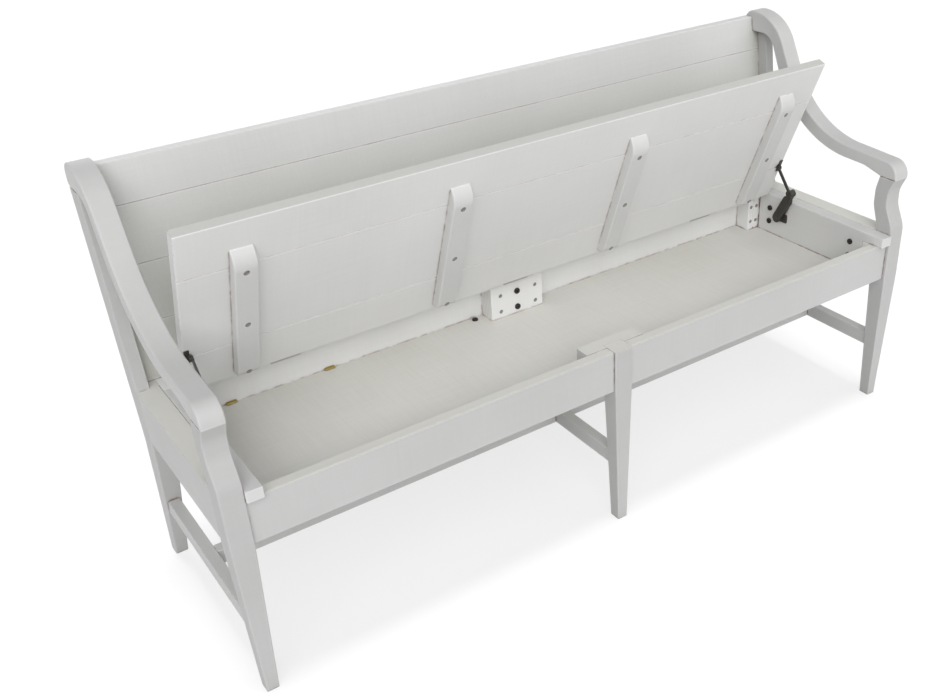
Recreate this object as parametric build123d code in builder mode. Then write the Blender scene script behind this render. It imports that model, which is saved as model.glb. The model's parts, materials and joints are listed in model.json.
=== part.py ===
"""Painted storage bench: plank back, swept arms and a hinged plank lid held open by two stays.

X runs along the bench, the front faces -Y and Z is up. The origin is on the floor,
under the middle of the bench. The model stands as the bench stands with its lid open.
"""
import math
import os

from build123d import *

# Overall sizes, millimetres
bench_length = 1700.0
bench_depth = 533.0
seat_top = 455.0
back_top = 874.0

# Legs
leg_width = 44.0
front_foot_width = 24.0
rear_foot_width = 26.0
front_foot_depth = 28.0
rear_foot_depth = 31.0
leg_proud = 8.0
centre_leg_proud = 5.0
leg_back = 37.0
centre_leg_back = 36.0
centre_foot_front = -3.0
centre_foot_back = 25.0
arm_joint_rise = 133.0
arm_joint_depth = 46.0
leg_edge = 2.5
taper_round = 300.0
knee_round = 100.0

# Arm supports above the front end legs, as depth behind the front rail's face and height above the seat
support_back_bend = 11.0
support_back = [(54.0, 61.0), (54.0, 101.0)]
support_back_radius = 60.0
support_front_bend = 15.0
support_front = [(16.0, 65.0), (16.0, 101.0)]
support_front_top = 1.0
support_front_radius = 50.0

# Rails and the storage box
rail_height = 94.0
front_rail_thick = 24.0
rear_rail_setback = 40.0
rear_rail_thick = 18.0
side_rail_thick = 43.5
side_rail_rise = 10.0
floor_thick = 12.0
end_board_thick = 32.0
corner_block_depth = 22.0
nosing = 12.0
board_edge = 2.0

# Blocks inside the box
front_block_length = 144.0
front_block_depth = 36.0
rear_block_length = 140.0
rear_block_shift = 5.0
rear_block_gap = 4.0
corner_block_length = 68.0
corner_groove_inset = 19.0
corner_groove = 2.0
notch_clearance = 0.4

# Rear legs and back posts
rear_splay = 125.0
post_depth = 52.0
post_width = 25.0
post_drop = 34.0
back_lean = 7.5
centre_post_depth = 44.0
centre_post_ahead = 21.0
plank_setback = 28.0
plank_thick = 21.0
plank_count = 4
top_plank_width = 79.5
groove = 1.2

# Arms: depths of the front end are from the front rail's face, the others from the back post,
# and heights are above the seat, apart from the shoulder's, which is above the back
arm_front_rise = 171.0
arm_nose_radius = 34.0
arm_bend = (-107.0, 185.6)
arm_bend_radius = 250.0
arm_shoulder = (21.0, 15.0)
arm_shoulder_radius = 110.0
arm_tail = 124.0
arm_tail_top_radius = 28.0
arm_tail_low_radius = 12.0
arm_under_front = (96.0, 146.0)
arm_under_front_radius = 60.0
arm_under_bend = (-71.6, 153.8)
arm_under_radius = 275.0
arm_under_top = 32.0
arm_under_top_radius = 45.0
arm_edge = 4.0

# Stretchers
stretcher_width = 24.0
stretcher_bottom = 138.0
stretcher_top = 172.0
long_stretcher_middle = 240.0

# Lid and its hinges
lid_open_angle = 68.2
lid_thick = 22.0
lid_rest_gap = 1.0
lid_end_gap = 2.0
lid_rear_joint = 97.0
lid_front_width = 104.0
hinge_ahead = 8.0
hinge_rise = 5.0
hinge_gap = 2.0
hinge_inset = 212.0
hinge_length = 64.0
lid_knuckle_length = 22.0
knuckle_radius = 5.0
knuckle_gap = 0.5
leaf_thick = 1.8
leaf_bottom = 26.0
pin_radius = 2.45
pin_clearance = 0.05

# Lid battens
batten_count = 4
batten_left_inset = 117.5
batten_right_inset = 97.5
batten_width = 44.0
batten_thick = 22.0
batten_near = 14.0
batten_front_gap = 62.0
batten_end_radius = 18.0
batten_nose = 38.0
batten_screw_near = 14.0
batten_screw_middle = 161.0
batten_screw_far = 43.0

# Screws and bolts
screw_head_radius = 4.8
batten_head_radius = 6.0
screw_head_height = 2.5
screw_sink = 3.5
screw_shank_radius = 2.2
screw_length = 24.0
slot_width = 1.2
slot_turn = 35.0
fastener_clearance = 0.1
hole_spare = 1.0
bolt_head_radius = 7.0
bolt_head_height = 3.5
bolt_shank_radius = 4.0
bolt_shank_length = 26.0
bolt_socket_radius = 3.4
bolt_socket_depth = 2.5
bolt_rim = 1.0
end_bolt_front = 83.0
end_bolt_ahead = 36.0
end_bolt_heights = [32.0, 68.0]
block_bolt_heights = [16.0, 56.0]
block_screw_shift = 3.0
block_screw_spread = 95.0
corner_screw_insets = [10.0, 28.0]
corner_screw_heights = [22.0, 62.0]

# Lid stays with the lid open: the foot from the hinge axis, the elbow from the foot
stay_foot_ahead = 71.0
stay_foot_drop = 50.0
stay_elbow_ahead = 42.5
stay_elbow_rise = 79.2
stay_lid_reach = 100.5
stay_lid_drop = 6.5
stay_body_width = 24.0
stay_body_thick = 10.0
stay_neck_width = 16.0
stay_neck_length = 25.0
stay_foot_gap = 1.0
stay_foot_pin_radius = 4.0
stay_pin_radius = 2.5
stay_rod_width = 7.0
stay_rod_thick = 4.0
stay_eye_radius = 5.5
elbow_eye_radius = 9.5
elbow_hole_radius = 7.0
elbow_pin_radius = 3.0
elbow_cap_radius = 9.5
elbow_cap_thick = 2.0
stay_side_gap = 0.5
stay_plate_thick = 3.0
stay_plate_length = 40.0
stay_plate_height = 22.0
stay_plate_corner = 3.0
stay_plate_forward = 6.0
lid_plate_length = 34.0
lid_plate_thick = 2.0
lid_plate_width = 10.0
lid_ear_thick = 2.5
lid_ear_radius = 6.0

# Small brass clips and the floor bolt
clip_insets = [134.0, 353.0]
clip_length = 22.0
clip_leg = 5.0
clip_thick = 1.2
clip_roll_radius = 1.8
floor_bolt_gap = 28.0
floor_bolt_ahead = 12.0
floor_bolt_length = 9.0

# Room left when edges and corners are chosen by their place, and the most of a side that rounds may take
selection_room = 1.0
round_room = 0.98

# Places along the bench, worked out from the sizes above
outer_x = bench_length / 2
inner_x = outer_x - leg_width
leg_x = outer_x - leg_width / 2
board_x = inner_x - end_board_thick
lid_x = board_x - lid_end_gap
corner_block_inner = inner_x - corner_block_length
post_inner_x = outer_x - post_width
hinge_places = [hinge_inset - lid_x, 0, lid_x - hinge_inset]
batten_pitch = (2 * lid_x - batten_left_inset - batten_right_inset) / (batten_count - 1)
batten_middles = [batten_left_inset - lid_x + batten_pitch * step for step in range(batten_count)]
clip_places = [inset - inner_x for inset in clip_insets]
floor_bolt_x = rear_block_shift - rear_block_length / 2 - floor_bolt_gap
stay_body_outer = board_x - stay_plate_thick - stay_foot_gap
stay_body_inner = stay_body_outer - stay_body_thick
stay_rod_outer = stay_body_inner - stay_side_gap
stay_rod_inner = stay_rod_outer - stay_rod_thick

# Depths behind the front rail's face
front_y = nosing - bench_depth / 2
rear_foot_back = bench_depth - nosing
rear_foot_front = rear_foot_back - rear_foot_depth
post_front_low = rear_foot_back - rear_splay
rear_rail_front = post_front_low + rear_rail_setback
centre_post_front = rear_rail_front - centre_post_ahead
hinge_depth = post_front_low - hinge_ahead
hinge_y = front_y + hinge_depth
end_board_notch = front_rail_thick + corner_block_depth
front_block_back = front_rail_thick + front_block_depth
rear_block_front = hinge_depth + hinge_gap + rear_block_gap
lean = math.tan(math.radians(back_lean))

# Heights above the ground, and the lid's faces from its hinge axis
rail_top = seat_top - lid_thick - lid_rest_gap
rail_bottom = rail_top - rail_height
side_rail_bottom = rail_bottom + side_rail_rise
floor_top = rail_bottom + floor_thick
arm_joint_z = seat_top + arm_joint_rise
post_top = back_top - post_drop
plank_width = (back_top - top_plank_width - seat_top) / (plank_count - 1)
plank_edges = [seat_top + plank_width * step for step in range(plank_count)] + [back_top]
hinge_z = seat_top + hinge_rise
lid_low = seat_top - lid_thick - hinge_z
lid_high = seat_top - hinge_z
lid_front = -(hinge_depth + nosing)
lid_edges = [-hinge_gap, -lid_rear_joint, lid_front + lid_front_width, lid_front]
batten_far = -lid_front - batten_front_gap
batten_screw_places = [
    batten_near + batten_screw_near,
    batten_screw_middle,
    batten_far - batten_screw_far,
]
lid_plane = Plane(origin=(0, hinge_y, hinge_z)).rotated((-lid_open_angle, 0, 0))

# Holes for the fasteners
bolt_hole = bolt_shank_radius + fastener_clearance
shank_hole = screw_shank_radius + fastener_clearance
screw_reach = screw_sink + screw_length + hole_spare

os.makedirs("parts", exist_ok=True)


def save(piece, name):
    """Label a finished piece and write it."""
    piece.label = name
    export_step(piece, f"parts/{name}.step")


def side_plane(x):
    """Plane across the bench at x: first axis is depth behind the rails' face, second is height."""
    return Plane(origin=(x, front_y, 0), x_dir=(0, 1, 0), z_dir=(1, 0, 0))


def lid_side_plane(x):
    """Plane across the lid at x, measured from the hinge axis as if the lid were closed."""
    return Plane(origin=lid_plane.from_local_coords((x, 0, 0)), x_dir=lid_plane.y_dir, z_dir=(1, 0, 0))


def front_plane(depth):
    """Plane along the bench at a depth: first axis is X, second is height, normal to the front."""
    return Plane(origin=(0, front_y + depth, 0), x_dir=(1, 0, 0), z_dir=(0, -1, 0))


def post_front(z):
    """Depth of the back post's front face at a height above the rails' lower edge."""
    return post_front_low + lean * (z - rail_bottom)


def slope(low, high, z):
    """Depth at a height on a straight edge between two (depth, height) points."""
    share = (z - low[1]) / (high[1] - low[1])
    return low[0] + share * (high[0] - low[0])


def mirrored(piece):
    """The same piece at the other end of the bench."""
    with BuildPart() as other:
        mirror(piece, about=Plane.YZ)
    return other.part


def board(x_range, depth_range, z_range, edge):
    """A squared board with softened edges."""
    size = [high - low for low, high in (x_range, depth_range, z_range)]
    middle = [(low + high) / 2 for low, high in (x_range, depth_range, z_range)]
    with BuildPart() as piece:
        with Locations((middle[0], front_y + middle[1], middle[2])):
            Box(*size)
        fillet(piece.edges(), edge)
    return piece.part


def profile_board(outline, plane, width, edge, rounded=()):
    """A board cut to an outline, with some corners rounded and its outline edges softened."""
    with BuildPart() as piece:
        with BuildSketch(plane) as face:
            with BuildLine():
                Polyline(*outline, close=True)
            make_face()
            for corner, radius in rounded:
                if radius > 0:
                    fillet(face.vertices().sort_by_distance(corner)[0], radius)
        extrude(amount=width)
        if edge > 0:
            sides = piece.faces().sort_by(Axis.X)
            fillet(sides[0].edges() + sides[-1].edges(), edge)
    return piece.part


def limited_rounds(corners):
    """Corners with their radii, cut back where two rounds would meet on the side between them."""
    points = [Vector(*corner) for corner, _ in corners]
    following = points[1:] + points[:1]
    reaches = []
    for number, (_, radius) in enumerate(corners):
        before = points[number - 1] - points[number]
        after = following[number] - points[number]
        reaches.append(radius / math.tan(math.radians(before.get_angle(after)) / 2))
    filled = []
    for number, point in enumerate(points):
        side = (points[number - 1] - point).length
        filled.append((reaches[number - 1] + reaches[number]) / side)
    fullest = [max(pair) for pair in zip(filled, filled[1:] + filled[:1])]
    return [(corner, radius * min(1, round_room / full)) for (corner, radius), full in zip(corners, fullest)]


def eased_taper(sketch, radius):
    """Round the corners of a leg's outline where its taper begins."""
    for corner in sketch.vertices().filter_by(lambda point: abs(point.Y - rail_bottom) < selection_room):
        fillet(sketch.vertices().sort_by_distance(corner)[0], radius)


def rising_edges(piece, middle_x):
    """The edges that run up a leg's two sides."""
    def rises(edge):
        aside = abs(edge.center().X - middle_x) > selection_room
        return aside and edge.bounding_box().size.Z > selection_room

    return piece.edges().filter_by(rises)


def leg(outline, middle_x, foot_width, top, side_round, rounded=()):
    """A leg cut to its side outline, then tapered to the foot on both sides."""
    half_leg = leg_width / 2
    half_foot = foot_width / 2
    front_view = [
        (middle_x - half_foot, 0),
        (middle_x + half_foot, 0),
        (middle_x + half_leg, rail_bottom),
        (middle_x + half_leg, top),
        (middle_x - half_leg, top),
        (middle_x - half_leg, rail_bottom),
    ]
    with BuildPart() as piece:
        with BuildSketch(side_plane(middle_x)) as side:
            with BuildLine():
                Polyline(*outline, close=True)
            make_face()
            for corner, radius in rounded:
                fillet(side.vertices().sort_by_distance(corner)[0], radius)
            eased_taper(side, side_round)
        extrude(amount=leg_width, both=True)
        with BuildSketch(front_plane(0)) as front:
            with BuildLine():
                Polyline(*front_view, close=True)
            make_face()
            eased_taper(front, taper_round)
        extrude(amount=bench_depth, both=True, mode=Mode.INTERSECT)
        fillet(rising_edges(piece, middle_x), leg_edge)
    return piece.part


def drilled(piece, plane, places, radius, depth):
    """The piece with blind holes drilled from a plane against its normal."""
    with BuildPart() as result:
        add(piece)
        with BuildSketch(plane):
            with Locations(*places):
                Circle(radius)
        extrude(amount=-depth, mode=Mode.SUBTRACT)
    return result.part


def screw_holes(piece, plane, places, head_radius):
    """The piece with sunk holes for slotted screws."""
    sunk = drilled(piece, plane, places, head_radius + fastener_clearance, screw_sink)
    return drilled(sunk, plane, places, shank_hole, screw_reach)


def screw(plane, place, head_radius):
    """A slotted screw sunk below a plane's surface."""
    seat = plane.offset(-screw_sink)
    with BuildPart() as piece:
        with BuildSketch(seat):
            with Locations(place):
                Circle(head_radius)
        extrude(amount=screw_head_height)
        with BuildSketch(seat):
            with Locations(place):
                Circle(screw_shank_radius)
        extrude(amount=-screw_length)
        with BuildSketch(seat.offset(screw_head_height)):
            with Locations(place):
                Rectangle(2 * head_radius, slot_width, rotation=slot_turn)
        extrude(amount=-screw_head_height / 2, mode=Mode.SUBTRACT)
    return piece.part


def bolt(plane, place, shank_length):
    """A socket head bolt standing on a plane's surface."""
    with BuildPart() as piece:
        with BuildSketch(plane):
            with Locations(place):
                Circle(bolt_head_radius)
        extrude(amount=bolt_head_height)
        rim = piece.faces().sort_by(Axis((0, 0, 0), plane.z_dir))[-1].edges()
        fillet(rim, bolt_rim)
        with BuildSketch(plane):
            with Locations(place):
                Circle(bolt_shank_radius)
        extrude(amount=-shank_length)
        with BuildSketch(plane.offset(bolt_head_height)):
            with Locations(place):
                RegularPolygon(bolt_socket_radius, 6)
        extrude(amount=-bolt_socket_depth, mode=Mode.SUBTRACT)
    return piece.part


# Front legs: the end legs sweep up as arm supports, the centre leg stops under the seat
back_rises = [(leg_back, support_back_bend)] + support_back
front_rises = [(-leg_proud, support_front_bend)] + support_front
back_bends = [(depth, seat_top + rise) for depth, rise in back_rises]
front_bends = [(depth, seat_top + rise) for depth, rise in front_rises]
support_rounds = [(bend, support_back_radius) for bend in back_bends]
support_rounds += [(bend, support_front_radius) for bend in front_bends]
support_outline = [
    (0, 0),
    (front_foot_depth, 0),
    (leg_back, rail_bottom),
    *back_bends,
    (arm_joint_depth, arm_joint_z),
    (support_front_top, arm_joint_z),
    *reversed(front_bends),
    (-leg_proud, rail_bottom),
]
front_leg_right = leg(support_outline, leg_x, front_foot_width, arm_joint_z, taper_round, support_rounds)
save(front_leg_right, "front_leg_right")
save(mirrored(front_leg_right), "front_leg_left")

centre_outline = [
    (centre_foot_front, 0),
    (centre_foot_back, 0),
    (centre_leg_back, rail_bottom),
    (centre_leg_back, rail_top),
    (-centre_leg_proud, rail_top),
    (-centre_leg_proud, rail_bottom),
]
save(leg(centre_outline, 0, front_foot_width, rail_top, taper_round), "front_leg_centre")

# Rear legs: the end legs lean back as thinner posts above the seat, the centre leg stops under it
rear_outline = [
    (rear_foot_front, 0),
    (rear_foot_back, 0),
    (post_front_low + post_depth, rail_bottom),
    (post_front(post_top) + post_depth, post_top),
    (post_front(post_top), post_top),
    (post_front_low, rail_bottom),
]
with BuildPart() as rear_leg_right:
    add(leg(rear_outline, leg_x, rear_foot_width, post_top, knee_round))
    with BuildSketch(side_plane(inner_x)):
        with Locations((rear_foot_back, (seat_top + back_top) / 2)):
            Rectangle(bench_depth, back_top - seat_top)
    extrude(amount=post_inner_x - inner_x, mode=Mode.SUBTRACT)
save(rear_leg_right.part, "rear_leg_right")
save(mirrored(rear_leg_right.part), "rear_leg_left")

centre_post_back = centre_post_front + centre_post_depth
rear_centre_outline = [
    (rear_foot_front, 0),
    (rear_foot_back, 0),
    (centre_post_back, rail_bottom),
    (centre_post_back, rail_top),
    (centre_post_front, rail_top),
    (centre_post_front, rail_bottom),
]
save(leg(rear_centre_outline, 0, rear_foot_width, rail_top, knee_round), "rear_leg_centre")

# Arms: a swept bar from the post's top down to the front leg
arm_top = back_top + arm_shoulder[1]
under_front = (arm_under_front[0], seat_top + arm_under_front[1])
under_bend = (post_front_low + arm_under_bend[0], seat_top + arm_under_bend[1])
under_top = (post_front_low + arm_under_top, post_top)
tail_low = (post_front_low + arm_tail, post_top)
tail_high = (post_front_low + arm_tail, arm_top)
shoulder = (post_front_low + arm_shoulder[0], arm_top)
upper_bend = (post_front_low + arm_bend[0], seat_top + arm_bend[1])
nose = (0, seat_top + arm_front_rise)
arm_corners = [
    ((0, arm_joint_z), 0),
    ((arm_joint_depth, arm_joint_z), 0),
    (under_front, arm_under_front_radius),
    (under_bend, arm_under_radius),
    (under_top, arm_under_top_radius),
    (tail_low, arm_tail_low_radius),
    (tail_high, arm_tail_top_radius),
    (shoulder, arm_shoulder_radius),
    (upper_bend, arm_bend_radius),
    (nose, arm_nose_radius),
]
arm_outline = [corner for corner, _ in arm_corners]
arm_rounds = limited_rounds(arm_corners)
arm_right = profile_board(arm_outline, side_plane(inner_x), leg_width, arm_edge, arm_rounds)
save(arm_right, "arm_right")
save(mirrored(arm_right), "arm_left")

# Rails round the seat box
rail_x = (leg_width / 2, inner_x)
rail_z = (rail_bottom, rail_top)
front_rail_right = board(rail_x, (0, front_rail_thick), rail_z, board_edge)
save(front_rail_right, "front_rail_right")
save(mirrored(front_rail_right), "front_rail_left")

rear_rail_back = rear_rail_front + rear_rail_thick
rear_rail_right = board(rail_x, (rear_rail_front, rear_rail_back), rail_z, board_edge)
save(rear_rail_right, "rear_rail_right")
save(mirrored(rear_rail_right), "rear_rail_left")

side_rail_right = profile_board(
    [
        (leg_back, side_rail_bottom),
        (post_front(side_rail_bottom), side_rail_bottom),
        (post_front(seat_top), seat_top),
        (leg_back, seat_top),
    ],
    side_plane(inner_x),
    side_rail_thick,
    board_edge,
)
save(side_rail_right, "side_rail_right")
save(mirrored(side_rail_right), "side_rail_left")

# Seat ends: boards on edge inside the side rails, lapped over the front rails
end_board = profile_board(
    [
        (-nosing, rail_top),
        (-nosing, seat_top),
        (hinge_depth + hinge_gap, seat_top),
        (hinge_depth + hinge_gap, floor_top),
        (end_board_notch, floor_top),
        (end_board_notch, rail_top),
    ],
    side_plane(board_x),
    end_board_thick,
    board_edge,
)
end_bolt_plane = Plane(origin=(board_x, front_y, 0), x_dir=(0, -1, 0), z_dir=(-1, 0, 0))
end_bolt_depths = [end_bolt_front, hinge_depth - end_bolt_ahead]
end_bolt_spots = [(-depth, floor_top + height) for depth in end_bolt_depths for height in end_bolt_heights]
end_bolt_reach = bolt_shank_length + hole_spare
end_board_right = drilled(end_board, end_bolt_plane, end_bolt_spots, bolt_hole, end_bolt_reach)
save(end_board_right, "end_board_right")
save(mirrored(end_board_right), "end_board_left")

# Fixed seat board behind the lid, which carries the hinges
seat_board_back = post_front(seat_top) + post_depth
rear_seat_board = board(
    (-inner_x, inner_x),
    (hinge_depth + hinge_gap, seat_board_back),
    (rail_top, seat_top),
    board_edge,
)
save(rear_seat_board, "rear_seat_board")

# Floor of the storage box, let in round the centre legs
half_slot = leg_width / 2 + notch_clearance
with BuildPart() as floor_panel:
    with BuildSketch(Plane.XY.offset(rail_bottom)):
        with Locations((0, front_y + (front_rail_thick + rear_rail_front) / 2)):
            Rectangle(2 * inner_x, rear_rail_front - front_rail_thick)
        with Locations((0, front_y + centre_leg_back / 2)):
            Rectangle(2 * half_slot, centre_leg_back + notch_clearance, mode=Mode.SUBTRACT)
        with Locations((0, front_y + rear_rail_front)):
            slot_depth = 2 * (rear_rail_front - centre_post_front + notch_clearance)
            Rectangle(2 * half_slot, slot_depth, mode=Mode.SUBTRACT)
    extrude(amount=floor_top - rail_bottom)
floor_plane = Plane(origin=(0, front_y, floor_top))
floor_bolt_place = (floor_bolt_x, rear_rail_front - floor_bolt_ahead)
floor_bolt_reach = floor_bolt_length + hole_spare
drilled_floor = drilled(floor_panel.part, floor_plane, [floor_bolt_place], bolt_hole, floor_bolt_reach)
save(drilled_floor, "floor_panel")
save(bolt(floor_plane, floor_bolt_place, floor_bolt_length), "floor_bolt")

# Blocks that tie the centre legs and the corners to the rails
with BuildPart() as front_centre_block:
    with BuildSketch(Plane.XY.offset(floor_top)):
        with Locations((0, front_y + (front_rail_thick + front_block_back) / 2)):
            Rectangle(front_block_length, front_block_back - front_rail_thick)
        with Locations((0, front_y + centre_leg_back / 2)):
            Rectangle(2 * half_slot, centre_leg_back + notch_clearance, mode=Mode.SUBTRACT)
    extrude(amount=rail_top - floor_top)
save(front_centre_block.part, "front_centre_block")

with BuildPart() as rear_block:
    with BuildSketch(Plane.XY.offset(floor_top)):
        with Locations((rear_block_shift, front_y + (rear_block_front + rear_rail_front) / 2)):
            Rectangle(rear_block_length, rear_rail_front - rear_block_front)
        with Locations((0, front_y + rear_rail_front)):
            Rectangle(2 * half_slot, slot_depth, mode=Mode.SUBTRACT)
    extrude(amount=rail_top - floor_top)
block_plane = front_plane(rear_block_front)
block_bolt_spots = [(rear_block_shift, floor_top + height) for height in block_bolt_heights]
block_screw_middle = rear_block_shift + block_screw_shift
block_screw_columns = [block_screw_middle + side * block_screw_spread / 2 for side in (-1, 1)]
block_screw_spots = [(x, floor_top + height) for x in block_screw_columns for height in block_bolt_heights]
block_bolt_depth = centre_post_front - rear_block_front
block_bolt_reach = block_bolt_depth + hole_spare
bolted_block = drilled(rear_block.part, block_plane, block_bolt_spots, bolt_hole, block_bolt_reach)
rear_centre_block = screw_holes(bolted_block, block_plane, block_screw_spots, screw_head_radius)
save(rear_centre_block, "rear_centre_block")

corner_screw_spots = [
    (corner_block_inner + inset, floor_top + height)
    for inset in corner_screw_insets
    for height in corner_screw_heights
]
with BuildPart() as corner_block:
    add(
        board(
            (corner_block_inner, inner_x),
            (rear_block_front, rear_rail_front),
            (floor_top, rail_top),
            board_edge,
        )
    )
    with BuildSketch(Plane.XY.offset(floor_top)):
        with Locations((corner_block_inner + corner_groove_inset, front_y + rear_block_front)):
            Rectangle(corner_groove, corner_groove, rotation=45)
    extrude(amount=rail_top - floor_top, mode=Mode.SUBTRACT)
rear_corner_block = screw_holes(corner_block.part, block_plane, corner_screw_spots, screw_head_radius)
save(rear_corner_block, "rear_corner_block_right")
save(mirrored(rear_corner_block), "rear_corner_block_left")

front_corner_block = board(
    (board_x, inner_x),
    (front_rail_thick, end_board_notch),
    (floor_top, rail_top),
    board_edge,
)
save(front_corner_block, "front_corner_block_right")
save(mirrored(front_corner_block), "front_corner_block_left")


# Stretchers: one across under each pair of legs, and a long one in two halves between them
def cross_stretcher(middle_x, front_low, front_high, rear_high):
    """A low rail between a front leg's back edge and a rear leg's front edge."""
    rear_low = (rear_foot_front, 0)
    outline = [
        (slope(front_low, front_high, stretcher_bottom), stretcher_bottom),
        (slope(rear_low, rear_high, stretcher_bottom), stretcher_bottom),
        (slope(rear_low, rear_high, stretcher_top), stretcher_top),
        (slope(front_low, front_high, stretcher_top), stretcher_top),
    ]
    plane = side_plane(middle_x - stretcher_width / 2)
    return profile_board(outline, plane, stretcher_width, board_edge)


stretcher_right = cross_stretcher(
    leg_x,
    (front_foot_depth, 0),
    (leg_back, rail_bottom),
    (post_front_low, rail_bottom),
)
save(stretcher_right, "stretcher_right")
save(mirrored(stretcher_right), "stretcher_left")
stretcher_centre = cross_stretcher(
    0,
    (centre_foot_back, 0),
    (centre_leg_back, rail_bottom),
    (centre_post_front, rail_bottom),
)
save(stretcher_centre, "stretcher_centre")

long_stretcher_right = board(
    (stretcher_width / 2, leg_x - stretcher_width / 2),
    (long_stretcher_middle - stretcher_width / 2, long_stretcher_middle + stretcher_width / 2),
    (stretcher_bottom, stretcher_top),
    board_edge,
)
save(long_stretcher_right, "long_stretcher_right")
save(mirrored(long_stretcher_right), "long_stretcher_left")

# Back planks between the posts, with a V groove at each joint; the top one is notched round the arms
notch_x = inner_x - notch_clearance
notch_z = post_top - notch_clearance
notch_middle = (notch_x + outer_x) / 2
for number, (low, high) in enumerate(zip(plank_edges, plank_edges[1:]), start=1):
    front_low = (post_front(low) + plank_setback, low)
    front_high = (post_front(high) + plank_setback, high)
    with BuildPart() as back_plank:
        with BuildSketch(side_plane(-post_inner_x)) as section:
            with BuildLine():
                Polyline(
                    front_low,
                    (front_low[0] + plank_thick, low),
                    (front_high[0] + plank_thick, high),
                    front_high,
                    close=True,
                )
            make_face()
            for corner in (front_low, front_high):
                chamfer(section.vertices().sort_by_distance(corner)[0], groove)
        extrude(amount=2 * post_inner_x)
        with BuildSketch(front_plane(0)):
            with Locations((-notch_middle, notch_z + high / 2), (notch_middle, notch_z + high / 2)):
                Rectangle(outer_x - notch_x, high)
        extrude(amount=bench_depth, both=True, mode=Mode.SUBTRACT)
    save(back_plank.part, f"back_plank_{number}")

# Lid planks, drawn as if closed and tipped up about the hinge axis
batten_plane = lid_plane.offset(lid_low - batten_thick)
screw_plane = Plane(origin=batten_plane.origin, x_dir=(1, 0, 0), z_dir=-batten_plane.z_dir)
screw_spots = [(x, reach) for x in batten_middles for reach in batten_screw_places]
plank_names = ["lid_plank_rear", "lid_plank_middle", "lid_plank_front"]
for name, rear, front in zip(plank_names, lid_edges, lid_edges[1:]):
    with BuildPart() as lid_plank:
        with BuildSketch(lid_side_plane(-lid_x)) as section:
            with Locations(((rear + front) / 2, (lid_low + lid_high) / 2)):
                Rectangle(rear - front, lid_thick)
            chamfer(section.vertices(), groove)
        extrude(amount=2 * lid_x)
    save(drilled(lid_plank.part, screw_plane, screw_spots, shank_hole, screw_reach), name)

# Battens across the lid's underside, each with a rounded end at the hinges and a long nose at the front
batten_low = lid_low - batten_thick
batten_heel = (-batten_near, batten_low)
nose_start = (batten_nose - batten_far, batten_low)
nose_tip = (-batten_far, lid_low)
nose_radius = (batten_nose**2 + batten_thick**2) / (2 * batten_thick)
for number, middle in enumerate(batten_middles, start=1):
    with BuildPart() as batten:
        with BuildSketch(lid_side_plane(middle - batten_width / 2)) as section:
            with BuildLine():
                Polyline(nose_start, batten_heel, (-batten_near, lid_low), nose_tip)
                RadiusArc(nose_tip, nose_start, -nose_radius)
            make_face()
            fillet(section.vertices().sort_by_distance(batten_heel)[0], batten_end_radius)
        extrude(amount=batten_width)
        outer = batten.faces().sort_by(Axis((0, 0, 0), screw_plane.z_dir))[-1]
        fillet(outer.edges().filter_by(lambda edge: edge.length > batten_width + selection_room), board_edge)
    spots = [(middle, reach) for reach in batten_screw_places]
    save(screw_holes(batten.part, screw_plane, spots, batten_head_radius), f"lid_batten_{number}")

# Fasteners, each kind in one group
batten_screws = [screw(screw_plane, spot, batten_head_radius) for spot in screw_spots]
save(Compound(children=batten_screws), "batten_screws")

block_screws = [screw(block_plane, spot, screw_head_radius) for spot in block_screw_spots]
for spot in corner_screw_spots:
    corner_screw = screw(block_plane, spot, screw_head_radius)
    block_screws += [corner_screw, mirrored(corner_screw)]
save(Compound(children=block_screws), "block_screws")

end_bolts = [bolt(end_bolt_plane, spot, bolt_shank_length) for spot in end_bolt_spots]
frame_bolts = end_bolts + [mirrored(piece) for piece in end_bolts]
frame_bolts += [bolt(block_plane, spot, block_bolt_depth) for spot in block_bolt_spots]
save(Compound(children=frame_bolts), "frame_bolts")


# Hinges: fixed leaves on the seat board, lid leaves on the lid, and a pin through both
def hinge_leaf(plane, offset, knuckles):
    """A leaf plate beside the pin with its knuckles, clear of the other leaf's knuckles."""
    knuckle_room = knuckle_radius + knuckle_gap
    with BuildPart() as leaf:
        with BuildSketch(plane.offset(-hinge_length / 2)):
            with Locations((offset, -(leaf_bottom + knuckle_room) / 2)):
                Rectangle(leaf_thick, leaf_bottom - knuckle_room)
        extrude(amount=hinge_length)
        for start, end in knuckles:
            with BuildSketch(plane.offset(start)):
                with Locations((offset, -knuckle_room / 2)):
                    Rectangle(leaf_thick, knuckle_room)
                Circle(knuckle_radius)
                Circle(pin_radius + pin_clearance, mode=Mode.SUBTRACT)
            extrude(amount=end - start)
    return leaf.part


def hinge_pin(plane):
    """The pin of one hinge."""
    with BuildPart() as pin:
        with BuildSketch(plane.offset(-hinge_length / 2)):
            Circle(pin_radius)
        extrude(amount=hinge_length)
    return pin.part


leaf_offset = hinge_gap - leaf_thick / 2
half_knuckle = lid_knuckle_length / 2
lid_knuckles = [(-half_knuckle, half_knuckle)]
fixed_knuckles = [
    (-hinge_length / 2, -half_knuckle - knuckle_gap),
    (half_knuckle + knuckle_gap, hinge_length / 2),
]
fixed_planes = [
    Plane(origin=(x, hinge_y, hinge_z), x_dir=(0, 1, 0), z_dir=(1, 0, 0)) for x in hinge_places
]
fixed_leaves = [hinge_leaf(plane, leaf_offset, fixed_knuckles) for plane in fixed_planes]
lid_leaves = [hinge_leaf(lid_side_plane(x), -leaf_offset, lid_knuckles) for x in hinge_places]
save(Compound(children=fixed_leaves), "hinge_leaves_fixed")
save(Compound(children=lid_leaves), "hinge_leaves_lid")
save(Compound(children=[hinge_pin(plane) for plane in fixed_planes]), "hinge_pins")

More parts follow.
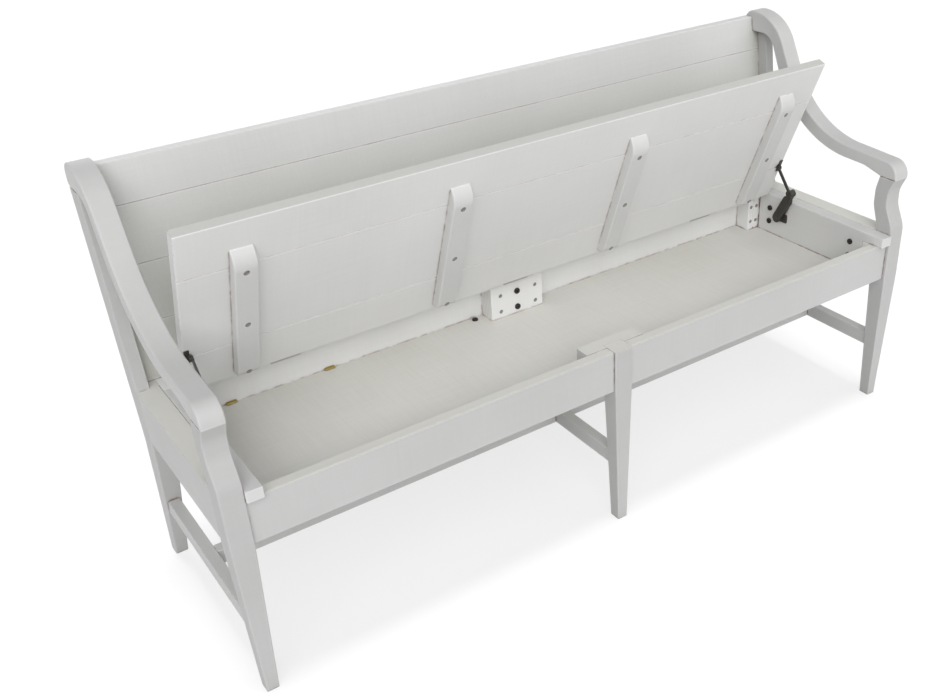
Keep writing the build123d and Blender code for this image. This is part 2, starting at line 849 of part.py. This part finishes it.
# Lid stays: a damper body on the seat end, a rod on the lid, and an elbow between them
stay_foot_pivot = (hinge_depth - stay_foot_ahead, seat_top - stay_foot_drop)
stay_elbow = (stay_foot_pivot[0] - stay_elbow_ahead, stay_foot_pivot[1] + stay_elbow_rise)
lid_pivot_local = (-stay_lid_reach, lid_low - stay_lid_drop)
lid_pivot_place = lid_side_plane(0).from_local_coords((*lid_pivot_local, 0))
stay_lid_pivot = (lid_pivot_place.Y - front_y, lid_pivot_place.Z)


def bar(start, end, width):
    """A round-ended bar between two points of the current sketch."""
    run = (end[0] - start[0], end[1] - start[1])
    place = ((start[0] + end[0]) / 2, (start[1] + end[1]) / 2, 0)
    turn = math.degrees(math.atan2(run[1], run[0]))
    with Locations(Location(place, (0, 0, turn))):
        SlotCenterToCenter(math.hypot(*run), width)


def disc(plane, place, radius, amount, mode=Mode.ADD):
    """A round boss or hole of the current part."""
    with BuildSketch(plane) as face:
        with Locations(place):
            Circle(radius)
    extrude(face.sketch, amount=amount, mode=mode)


body_length = math.hypot(stay_elbow_ahead, stay_elbow_rise)
body_share = 1 - stay_neck_length / body_length
collar = (
    stay_foot_pivot[0] - body_share * stay_elbow_ahead,
    stay_foot_pivot[1] + body_share * stay_elbow_rise,
)
with BuildPart() as stay_body:
    with BuildSketch(side_plane(stay_body_inner)):
        bar(stay_foot_pivot, collar, stay_body_width)
        bar(stay_foot_pivot, stay_elbow, stay_neck_width)
        with Locations(stay_elbow):
            Circle(elbow_cap_radius)
    extrude(amount=stay_body_thick)
    foot_hole = stay_foot_pin_radius + pin_clearance
    disc(side_plane(stay_body_inner), stay_foot_pivot, foot_hole, stay_body_thick, Mode.SUBTRACT)
    cap_outer = stay_rod_inner - stay_side_gap
    disc(side_plane(cap_outer), stay_elbow, elbow_pin_radius, stay_body_inner - cap_outer)
    disc(side_plane(cap_outer), stay_elbow, elbow_cap_radius, -elbow_cap_thick)
save(stay_body.part, "stay_body_right")
save(mirrored(stay_body.part), "stay_body_left")

with BuildPart() as stay_rod:
    with BuildSketch(side_plane(stay_rod_inner)):
        bar(stay_elbow, stay_lid_pivot, stay_rod_width)
        with Locations(stay_elbow):
            Circle(elbow_eye_radius)
            Circle(elbow_hole_radius, mode=Mode.SUBTRACT)
        with Locations(stay_lid_pivot):
            Circle(stay_eye_radius)
            Circle(stay_pin_radius + pin_clearance, mode=Mode.SUBTRACT)
    extrude(amount=stay_rod_thick)
save(stay_rod.part, "stay_rod_right")
save(mirrored(stay_rod.part), "stay_rod_left")

with BuildPart() as stay_bracket:
    with BuildSketch(side_plane(board_x)):
        with Locations((stay_foot_pivot[0] - stay_plate_forward, stay_foot_pivot[1])):
            RectangleRounded(stay_plate_length, stay_plate_height, stay_plate_corner)
    extrude(amount=-stay_plate_thick)
    disc(side_plane(stay_body_inner), stay_foot_pivot, stay_foot_pin_radius, board_x - stay_body_inner)
save(stay_bracket.part, "stay_bracket_right")
save(mirrored(stay_bracket.part), "stay_bracket_left")

ear_inner = stay_rod_outer + 2 * stay_side_gap
with BuildPart() as stay_lid_bracket:
    with BuildSketch(lid_side_plane(ear_inner)):
        with Locations((-stay_lid_reach, lid_low - stay_lid_drop / 2)):
            Rectangle(2 * lid_ear_radius, stay_lid_drop)
        with Locations(lid_pivot_local):
            Circle(lid_ear_radius)
    extrude(amount=lid_ear_thick)
    with BuildSketch(lid_side_plane(ear_inner)):
        with Locations((-stay_lid_reach, lid_low - lid_plate_thick / 2)):
            Rectangle(lid_plate_length, lid_plate_thick)
    extrude(amount=lid_plate_width)
    disc(lid_side_plane(cap_outer), lid_pivot_local, stay_pin_radius, ear_inner - cap_outer)
save(stay_lid_bracket.part, "stay_lid_bracket_right")
save(mirrored(stay_lid_bracket.part), "stay_lid_bracket_left")


# Brass clips where the floor meets the rear rail
def clip(x):
    """An angle clip with a rolled edge, standing in the corner of floor and rail."""
    with BuildPart() as angle:
        with BuildSketch(side_plane(x - clip_length / 2)):
            with Locations((rear_rail_front - clip_leg / 2, floor_top + clip_thick / 2)):
                Rectangle(clip_leg, clip_thick)
            with Locations((rear_rail_front - clip_thick / 2, floor_top + clip_leg / 2)):
                Rectangle(clip_thick, clip_leg)
            with Locations((rear_rail_front - clip_leg, floor_top + clip_roll_radius)):
                Circle(clip_roll_radius)
        extrude(amount=clip_length)
    return angle.part


save(Compound(children=[clip(x) for x in clip_places]), "panel_clips")
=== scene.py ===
"""Looks of the painted storage bench: worn pale paint, dark stays, brass clips and a pale studio."""
import json
import math

import bpy
from mathutils import Matrix, Vector

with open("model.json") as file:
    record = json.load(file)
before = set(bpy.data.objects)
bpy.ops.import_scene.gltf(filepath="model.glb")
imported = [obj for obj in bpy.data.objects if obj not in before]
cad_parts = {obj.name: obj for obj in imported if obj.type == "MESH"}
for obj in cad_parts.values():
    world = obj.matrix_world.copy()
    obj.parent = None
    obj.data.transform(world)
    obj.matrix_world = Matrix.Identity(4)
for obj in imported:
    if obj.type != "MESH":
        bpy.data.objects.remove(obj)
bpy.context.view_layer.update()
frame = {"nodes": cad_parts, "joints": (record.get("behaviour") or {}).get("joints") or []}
nodes = frame["nodes"]

# The photo's size and the camera that took it, in pixels, metres and radians; the sensor in millimetres
photo_width = 933
photo_height = 700
focal_pixels = 1093.56
axis_pixel = (560.85, 373.84)
camera_place = Vector((-1.20503, -1.74706, 1.54699))
camera_yaw = math.radians(35.1214)
camera_pitch = math.radians(-31.4210)
camera_roll = math.radians(-1.6655)
sensor_width = 36.0

# How far the lid stands open, and the grain's direction on each kind of piece, as turns in radians
lid_angle = math.radians(frame["joints"][0]["range_deg"][1])
quarter_turn = math.radians(90)
grain_along_x = (0.0, 0.0, 0.0)
grain_along_y = (0.0, 0.0, quarter_turn)
grain_along_z = (0.0, quarter_turn, 0.0)
grain_along_battens = (lid_angle, 0.0, quarter_turn)

# The directions of faces with a painted colour of light, with the lid open: tops painted paler as light
# from above, the lid's front edge painted darker as shade
upward = (0.0, 0.0, 1.0)
lid_front = (0.0, -math.cos(lid_angle), math.sin(lid_angle))

# Colours, linear
paint_colors = ((0.65, 0.65, 0.647), (0.59, 0.59, 0.583))
floor_colors = ((0.75, 0.745, 0.715), (0.65, 0.64, 0.595))
# Painted light from above, on faces that look up
painted_top_light_color = (0.71, 0.705, 0.665)
# Painted shade on the lid's front edge
painted_lid_edge_shade_color = (0.60, 0.605, 0.58)
rubbed_wood = (0.20, 0.085, 0.055)
joint_brown = (0.30, 0.23, 0.19)
# The grey of the painted shade in hollows, such as behind the open lid
painted_shade_grey = (0.37, 0.37, 0.31)
ply_glue = (0.40, 0.33, 0.25)
stay_black = (0.042, 0.039, 0.034)
stay_worn = (0.16, 0.15, 0.14)
bolt_black = (0.024, 0.020, 0.019)
# Wear, and a painted highlight, on the bolts' edges and patches
bolt_wear_and_highlight = (0.34, 0.31, 0.29)
screw_grey = (0.34, 0.33, 0.32)
screw_dark = (0.10, 0.085, 0.08)
hinge_grey = (0.50, 0.49, 0.46)
brass_bright = (0.76, 0.64, 0.28)
brass_dull = (0.42, 0.33, 0.10)
white = (1.0, 1.0, 1.0)

# How pale the one paint is made on each kind of piece, beside the common paint, as painted light and
# shade, and on its edges as a painted highlight
rail_shade = 0.87
leg_shade = 0.80
lid_shade = 1.18
batten_shade = 1.02
back_shade = 1.12
rear_rail_shade = 1.27
end_shade = 1.04
arm_shade = 0.92
painted_highlight_shade = 1.12
palest = 0.84

# How much of their own colour the painted highlight on edges, the rubbed spots and the joints take, and
# metal on its worn edges, which on bolts also carry a painted highlight
painted_highlight_share = 0.6
rub_share = 0.55
seam_share = 0.8
metal_wear_and_highlight_share = 0.8

# Noise: how often it repeats along and across the grain, per metre, and its kind
fine_repeats = (5.0, 260.0, 260.0)
brush_repeats = (14.0, 900.0, 900.0)
sawn_repeats = (170.0, 9.0, 9.0)
fine_noise = {"scale": 1.0, "detail": 5.0, "roughness": 0.6}
brush_noise = {"scale": 1.0, "detail": 2.0, "roughness": 0.5}
sawn_noise = {"scale": 1.0, "detail": 3.0, "roughness": 0.6}
cloud_noise = {"scale": 2.6, "detail": 3.0, "roughness": 0.5}
spot_noise = {"scale": 46.0, "detail": 3.0, "roughness": 0.6}
grit_noise = {"scale": 900.0, "detail": 3.0, "roughness": 0.6}
patch_noise = {"scale": 120.0, "detail": 4.0, "roughness": 0.6}

# How the paint's noises are mixed, in its colour and in its relief
sawn_part = 0.45
fine_relief = 0.7
brush_relief = 0.3

# How far round a point its edges, joints, grooves and the hollows that get painted shade count, in
# metres, and the rays for it
edge_reach = 0.006
seam_reach = 0.008
groove_reach = 0.004
painted_shade_reach = 0.36
metal_edge_reach = 0.0012
probe_rays = 6

# From where to where a value counts, and what it then becomes if that isn't 0 to 1
facing_span = (0.75, 0.95)
tone_span = (0.34, 0.66)
painted_shade_span = (0.40, 0.84)
painted_highlight_span = (0.01, 0.08)
rub_span = (0.14, 0.30)
rub_spot_span = (0.56, 0.70)
seam_span = (0.32, 0.46)
seam_spot_span = (0.36, 0.60)
groove_span = (0.22, 0.55)
groove_spot_span = (0.25, 0.60, 0.45, 0.9)
paint_gloss_span = (0.3, 0.7, 0.42, 0.56)
ply_end_span = (0.80, 0.95)
ply_line_span = (0.72, 0.95, 0.0, 0.55)
metal_edge_span = (0.05, 0.30)
metal_patch_span = (0.58, 0.80, 0.0, 0.5)
metal_gloss_span = (0.3, 0.7)

# Relief as strength and metres, gloss, and the thickness of a pair of ply layers in metres
paint_bump = (0.11, 0.0006)
metal_bump = (0.15, 0.0003)
paint_specular = 0.35
metal_smoother = 0.08
metal_rougher = 0.10
ply_pair = 0.0066

# The studio: strengths, reflectances, metres and degrees
world_strength = 0.20
floor_half_width = 15.0
floor_albedo = 0.42
floor_seen_albedo = 0.20
floor_glow = 0.72
floor_roughness = 0.9
floor_light_strength = 3.0
floor_light_spread = 14
light_spread = 45
lights = (
    ("camera_side_light", (-0.45, -0.65, 0.60), 1.60),
    ("right_light", (0.55, -0.60, 0.75), 0.50),
    ("left_light", (-0.90, -0.10, 0.45), 0.30),
    ("low_front_light", (-0.10, -0.95, 0.30), 0.60),
    ("rear_light", (0.30, 0.93, 0.20), 0.90),
)

# The sockets of a mix node that are for colours
mix_share_input = 0
mix_first_input = 6
mix_second_input = 7
mix_output = 2


class Tree:
    """A material's node tree with short ways to add and join nodes."""

    def __init__(self, name):
        self.material = bpy.data.materials.new(name)
        self.material.use_nodes = True
        self.nodes = self.material.node_tree.nodes
        self.links = self.material.node_tree.links
        self.shader = self.nodes["Principled BSDF"]

    def put(self, target, value):
        """Set a socket to a constant, or join it to another node's socket."""
        if isinstance(value, bpy.types.NodeSocket):
            self.links.new(value, target)
        elif isinstance(value, tuple) and len(value) == 3 and target.type == "RGBA":
            target.default_value = (*value, 1.0)
        else:
            target.default_value = value

    def add(self, kind, inputs=None, **settings):
        """Add a node, with its settings and inputs."""
        made = self.nodes.new(kind)
        for name, value in settings.items():
            setattr(made, name, value)
        for name, value in (inputs or {}).items():
            self.put(made.inputs[name], value)
        return made

    def math(self, operation, first, second=0.0):
        """One arithmetic step."""
        made = self.add("ShaderNodeMath", operation=operation)
        self.put(made.inputs[0], first)
        self.put(made.inputs[1], second)
        return made.outputs[0]

    def span(self, value, low, high, new_low=0.0, new_high=1.0):
        """A value's range mapped to another, and clamped."""
        inputs = {
            "Value": value,
            "From Min": low,
            "From Max": high,
            "To Min": new_low,
            "To Max": new_high,
        }
        return self.add("ShaderNodeMapRange", inputs, clamp=True).outputs["Result"]

    def blend(self, share, first, second):
        """Two colours mixed by a share."""
        made = self.add("ShaderNodeMix", data_type="RGBA", blend_type="MIX")
        self.put(made.inputs[mix_share_input], share)
        self.put(made.inputs[mix_first_input], first)
        self.put(made.inputs[mix_second_input], second)
        return made.outputs[mix_output]

    def noise(self, vector, scale, detail, roughness):
        """Noise over a mapped place."""
        inputs = {"Vector": vector, "Scale": scale, "Detail": detail, "Roughness": roughness}
        return self.add("ShaderNodeTexNoise", inputs).outputs["Fac"]

    def place(self, turn=(0.0, 0.0, 0.0), stretch=(1.0, 1.0, 1.0)):
        """The object's own place, turned into the grain and stretched along it."""
        source = self.add("ShaderNodeTexCoord").outputs["Object"]
        turned = self.add("ShaderNodeMapping", {"Vector": source, "Rotation": turn})
        scaled = self.add("ShaderNodeMapping", {"Vector": turned.outputs[0], "Scale": stretch})
        return scaled.outputs[0]

    def match(self, first, second):
        """How alike two directions are, 1 when they are the same."""
        made = self.add("ShaderNodeVectorMath", operation="DOT_PRODUCT")
        self.put(made.inputs[0], first)
        self.put(made.inputs[1], second)
        return made.outputs["Value"]

    def edges(self, radius):
        """How near a point is to a sharp edge, 0 on flats and more on edges."""
        rounded = self.add("ShaderNodeBevel", {"Radius": radius}, samples=probe_rays)
        flat = self.add("ShaderNodeNewGeometry").outputs["Normal"]
        return self.math("SUBTRACT", 1.0, self.match(rounded.outputs[0], flat))

    def facing(self, direction):
        """How squarely a face looks along a direction of its own piece, 0 to 1."""
        normal = self.add("ShaderNodeTexCoord").outputs["Normal"]
        return self.span(self.match(normal, direction), *facing_span)

    def crevices(self, distance):
        """How closed in a point is, 0 in the open to 1 in a joint."""
        light = self.add("ShaderNodeAmbientOcclusion", {"Distance": distance}, samples=probe_rays)
        return self.math("SUBTRACT", 1.0, light.outputs["AO"])

    def bump(self, height, strength, distance):
        """Small relief on the shader's normal."""
        inputs = {"Height": height, "Strength": strength, "Distance": distance}
        made = self.add("ShaderNodeBump", inputs)
        self.put(self.shader.inputs["Normal"], made.outputs[0])

    def finish(self, color, roughness, metallic=0.0, specular=0.5):
        """Join the colour and gloss to the shader."""
        self.put(self.shader.inputs["Base Color"], color)
        self.put(self.shader.inputs["Roughness"], roughness)
        self.put(self.shader.inputs["Metallic"], metallic)
        self.put(self.shader.inputs["Specular IOR Level"], specular)
        return self.material


def shaded(color, shade):
    """A colour made paler or darker, but not above the palest."""
    return tuple(min(value * shade, palest) for value in color)


def paint(
    name,
    grain,
    shade=1.0,
    streak=0.35,
    colors=paint_colors,
    painted_shade_share=0.1,
    layers=False,
    grooved=False,
    painted_facing_light=None,
):
    """Brushed paint over wood, with grain along the piece and wood rubbed bare on edges and joints.

    The streak is the part of the grain in the colour, and the painted shade share is the share of
    grey that the paint takes on in a hollow as painted shade. A painted facing light has a direction
    and a colour painted on the faces that look that way: painted light when it is paler, painted
    shade when it is darker.
    """
    light, dark = [shaded(color, shade) for color in colors]
    tree = Tree(name)
    fine = tree.noise(tree.place(grain, fine_repeats), **fine_noise)
    brush = tree.noise(tree.place(grain, brush_repeats), **brush_noise)
    sawn = tree.noise(tree.place(grain, sawn_repeats), **sawn_noise)
    cloud = tree.noise(tree.place(), **cloud_noise)
    spots = tree.noise(tree.place(), **spot_noise)

    marks = tree.math("MULTIPLY", tree.blend(sawn_part, fine, sawn), streak)
    clouds = tree.math("MULTIPLY", cloud, 1.0 - streak)
    tone = tree.span(tree.math("ADD", marks, clouds), *tone_span)
    color = tree.blend(tone, dark, light)
    if layers:
        color = ply_layers(tree, color)
    # Painted shade: the paint turns grey where it is closed in over a wide reach, as behind the open
    # lid
    painted_shade = tree.span(tree.crevices(painted_shade_reach), *painted_shade_span, new_high=painted_shade_share)
    color = tree.blend(painted_shade, color, shaded(painted_shade_grey, shade))

    edge = tree.edges(edge_reach)
    # Painted highlight: the paint is made paler along edges, as if their rounding caught the light
    edge_line = tree.span(edge, *painted_highlight_span, new_high=painted_highlight_share)
    color = tree.blend(edge_line, color, shaded(light, painted_highlight_shade))
    # Painted light and shade by facing: faces that look one way take a paler or darker colour
    if painted_facing_light:
        direction, painted_facing_color = painted_facing_light
        color = tree.blend(tree.facing(direction), color, painted_facing_color)
    if grooved:
        cut = tree.span(tree.crevices(groove_reach), *groove_span)
        line = tree.math("MULTIPLY", cut, tree.span(spots, *groove_spot_span))
        color = tree.blend(line, color, joint_brown)

    rub = tree.math("MULTIPLY", tree.span(edge, *rub_span), tree.span(spots, *rub_spot_span))
    joint = tree.span(tree.crevices(seam_reach), *seam_span)
    seam = tree.math("MULTIPLY", joint, tree.span(spots, *seam_spot_span))
    rubbed = tree.math("MULTIPLY", rub, rub_share)
    overlay = tree.math("MAXIMUM", rubbed, tree.math("MULTIPLY", seam, seam_share))
    color = tree.blend(overlay, color, rubbed_wood)

    fine_height = tree.math("MULTIPLY", fine, fine_relief)
    brush_height = tree.math("MULTIPLY", brush, brush_relief)
    tree.bump(tree.math("ADD", fine_height, brush_height), *paint_bump)
    return tree.finish(color, tree.span(fine, *paint_gloss_span), specular=paint_specular)


def ply_layers(tree, color):
    """Thin glue lines on the cut ends of a plywood block."""
    split = tree.add("ShaderNodeSeparateXYZ", {"Vector": tree.place()})
    normal = tree.add("ShaderNodeNewGeometry").outputs["Normal"]
    looks = tree.add("ShaderNodeSeparateXYZ", {"Vector": normal})
    ends = tree.span(tree.math("ABSOLUTE", looks.outputs["X"]), *ply_end_span)
    layer_turns = 2 * math.pi / ply_pair
    wave = tree.math("SINE", tree.math("MULTIPLY", split.outputs["Y"], layer_turns))
    lines = tree.math("MULTIPLY", tree.span(wave, *ply_line_span), ends)
    return tree.blend(lines, color, ply_glue)


def metal(name, base, overlay, roughness, metallic):
    """Plain metal with patches and edges in a second colour: wear, and on bolts also a painted
    highlight.
    """
    tree = Tree(name)
    grit = tree.noise(tree.place(), **grit_noise)
    patch = tree.noise(tree.place(), **patch_noise)
    edge = tree.span(tree.edges(metal_edge_reach), *metal_edge_span)
    edge_line = tree.math("MULTIPLY", edge, metal_wear_and_highlight_share)
    share = tree.math("MAXIMUM", edge_line, tree.span(patch, *metal_patch_span))
    tree.bump(grit, *metal_bump)
    gloss = tree.span(patch, *metal_gloss_span, roughness - metal_smoother, roughness + metal_rougher)
    return tree.finish(tree.blend(share, base, overlay), gloss, metallic)


def coat(material, names):
    """Give a material to some of the bench's pieces."""
    for name in names:
        slots = nodes[name].data.materials
        slots.clear()
        slots.append(material)


def both(*stems):
    """The left and right names of paired pieces."""
    return [f"{stem}_{side}" for stem in stems for side in ("left", "right")]


def counted(stem, count):
    """The names of a numbered row of pieces."""
    return [f"{stem}_{number}" for number in range(1, count + 1)]


def dress_wood():
    """Give every wooden piece its paint."""
    rails = both("front_rail") + ["front_centre_block"]
    inner_rails = both("rear_rail", "front_corner_block", "rear_corner_block") + ["rear_seat_board"]
    cross_stretchers = both("stretcher") + ["stretcher_centre"]
    legs = both("front_leg", "rear_leg") + ["front_leg_centre", "rear_leg_centre"]
    lid_planks = ["lid_plank_rear", "lid_plank_middle", "lid_plank_front"]
    # Painted light from above on faces that look up
    painted_top_light = (upward, painted_top_light_color)
    # Painted shade on the lid's front edge
    painted_lid_edge_shade = (lid_front, painted_lid_edge_shade_color)
    coat(paint("paint_rails", grain_along_x, rail_shade, painted_facing_light=painted_top_light), rails)
    coat(paint("paint_inner_rails", grain_along_x, rear_rail_shade, painted_shade_share=0.0), inner_rails)
    coat(paint("paint_sides", grain_along_y, rail_shade, painted_facing_light=painted_top_light), both("side_rail"))
    coat(paint("paint_long_stretchers", grain_along_x, rail_shade), both("long_stretcher"))
    coat(paint("paint_cross_stretchers", grain_along_y, rail_shade), cross_stretchers)
    coat(paint("paint_ends", grain_along_y, end_shade), both("end_board"))
    coat(paint("paint_arms", grain_along_y, arm_shade), both("arm"))
    coat(paint("paint_legs", grain_along_z, leg_shade, painted_facing_light=painted_top_light), legs)
    back = paint("paint_planks", grain_along_x, back_shade, streak=0.45, painted_shade_share=0.8, grooved=True)
    coat(back, counted("back_plank", 4))
    coat(paint("paint_lid", grain_along_x, lid_shade, grooved=True, painted_facing_light=painted_lid_edge_shade), lid_planks)
    coat(paint("paint_battens", grain_along_battens, batten_shade), counted("lid_batten", 4))
    coat(paint("paint_floor", grain_along_x, streak=0.5, colors=floor_colors), ["floor_panel"])
    coat(paint("paint_ply", grain_along_x, rear_rail_shade, layers=True), ["rear_centre_block"])


def dress_fittings():
    """Give every metal piece its finish."""
    stays = both("stay_bracket", "stay_body", "stay_rod", "stay_lid_bracket")
    bolts = ["frame_bolts", "floor_bolt"]
    screws = ["block_screws", "batten_screws"]
    hinges = ["hinge_leaves_fixed", "hinge_leaves_lid", "hinge_pins"]
    coat(metal("stay_metal", stay_black, stay_worn, roughness=0.46, metallic=0.35), stays)
    # Bolts: paler edges as wear and as a painted highlight
    coat(metal("bolt_metal", bolt_black, bolt_wear_and_highlight, roughness=0.36, metallic=0.5), bolts)
    coat(metal("screw_metal", screw_grey, screw_dark, roughness=0.42, metallic=0.35), screws)
    coat(metal("hinge_metal", hinge_grey, screw_grey, roughness=0.40, metallic=0.9), hinges)
    coat(metal("clip_metal", brass_dull, brass_bright, roughness=0.42, metallic=0.35), ["panel_clips"])


def seen_rays(tree):
    """One for what the camera sees directly, in a reflection or through glass, and otherwise zero."""
    path = tree.nodes.new("ShaderNodeLightPath")
    seen = path.outputs["Is Camera Ray"]
    for name in ("Is Glossy Ray", "Is Transmission Ray"):
        either = tree.nodes.new("ShaderNodeMath")
        either.operation = "MAXIMUM"
        tree.links.new(seen, either.inputs[0])
        tree.links.new(path.outputs[name], either.inputs[1])
        seen = either.outputs[0]
    return seen


def make_world():
    """Even soft light from all round, white where the camera sees it."""
    world = bpy.data.worlds.new("studio")
    bpy.context.scene.world = world
    world.use_nodes = True
    tree = world.node_tree
    lit = tree.nodes["Background"]
    lit.inputs["Color"].default_value = (*white, 1.0)
    lit.inputs["Strength"].default_value = world_strength
    shown = tree.nodes.new("ShaderNodeBackground")
    shown.inputs["Color"].default_value = (*white, 1.0)
    shown.inputs["Strength"].default_value = 1.0
    mix = tree.nodes.new("ShaderNodeMixShader")
    tree.links.new(seen_rays(tree), mix.inputs[0])
    tree.links.new(lit.outputs[0], mix.inputs[1])
    tree.links.new(shown.outputs[0], mix.inputs[2])
    tree.links.new(mix.outputs[0], tree.nodes["World Output"].inputs["Surface"])


def make_floor():
    """A plain pale floor that keeps the bench's shadow, lifted to white where the camera sees it."""
    mesh = bpy.data.meshes.new("studio_floor")
    signs = ((-1, -1), (1, -1), (1, 1), (-1, 1))
    corners = [(x * floor_half_width, y * floor_half_width, 0.0) for x, y in signs]
    mesh.from_pydata(corners, [], [(0, 1, 2, 3)])
    floor = bpy.data.objects.new("studio_floor", mesh)
    bpy.context.scene.collection.objects.link(floor)
    tree = Tree("studio_floor_white")
    seen = seen_rays(tree)
    color = tree.blend(seen, shaded(white, floor_albedo), shaded(white, floor_seen_albedo))
    tree.finish(color, floor_roughness, specular=0.0)
    tree.put(tree.shader.inputs["Emission Color"], white)
    tree.put(tree.shader.inputs["Emission Strength"], tree.math("MULTIPLY", seen, floor_glow))
    mesh.materials.append(tree.material)
    return floor


def make_sun(name, toward, strength, spread):
    """A soft light from a direction."""
    lamp = bpy.data.lights.new(name, "SUN")
    lamp.energy = strength
    lamp.angle = math.radians(spread)
    sun = bpy.data.objects.new(name, lamp)
    bpy.context.scene.collection.objects.link(sun)
    sun.rotation_mode = "QUATERNION"
    sun.rotation_quaternion = Vector(toward).to_track_quat("Z", "Y")
    return sun


def make_lights(floor):
    """The lights on the bench, and one straight down on the floor alone for the plain shadow."""
    floor_light = make_sun("floor_light", upward, floor_light_strength, floor_light_spread)
    lit = bpy.data.collections.new("lit_floor")
    lit.objects.link(floor)
    floor_light.light_linking.receiver_collection = lit
    for name, toward, strength in lights:
        make_sun(name, toward, strength, light_spread)


def make_camera():
    """The photo's camera, from its angles and its lens."""
    level = math.cos(camera_pitch)
    ahead = (math.sin(camera_yaw) * level, math.cos(camera_yaw) * level, math.sin(camera_pitch))
    forward = Vector(ahead)
    right = Vector((math.cos(camera_yaw), -math.sin(camera_yaw), 0.0))
    up = right.cross(forward)
    turned_right = math.cos(camera_roll) * right + math.sin(camera_roll) * up
    turned_up = math.cos(camera_roll) * up - math.sin(camera_roll) * right
    lens = bpy.data.cameras.new("camera")
    lens.sensor_width = sensor_width
    lens.lens = focal_pixels * sensor_width / photo_width
    lens.shift_x = (photo_width / 2 - axis_pixel[0]) / photo_width
    lens.shift_y = (axis_pixel[1] - photo_height / 2) / photo_width
    camera = bpy.data.objects.new("camera", lens)
    bpy.context.scene.collection.objects.link(camera)
    turn = Matrix((turned_right, turned_up, -forward)).transposed().to_4x4()
    camera.matrix_world = Matrix.Translation(camera_place) @ turn
    bpy.context.scene.camera = camera


dress_wood()
dress_fittings()
make_world()
make_lights(make_floor())
make_camera()
bpy.context.scene.view_settings.view_transform = "Standard"
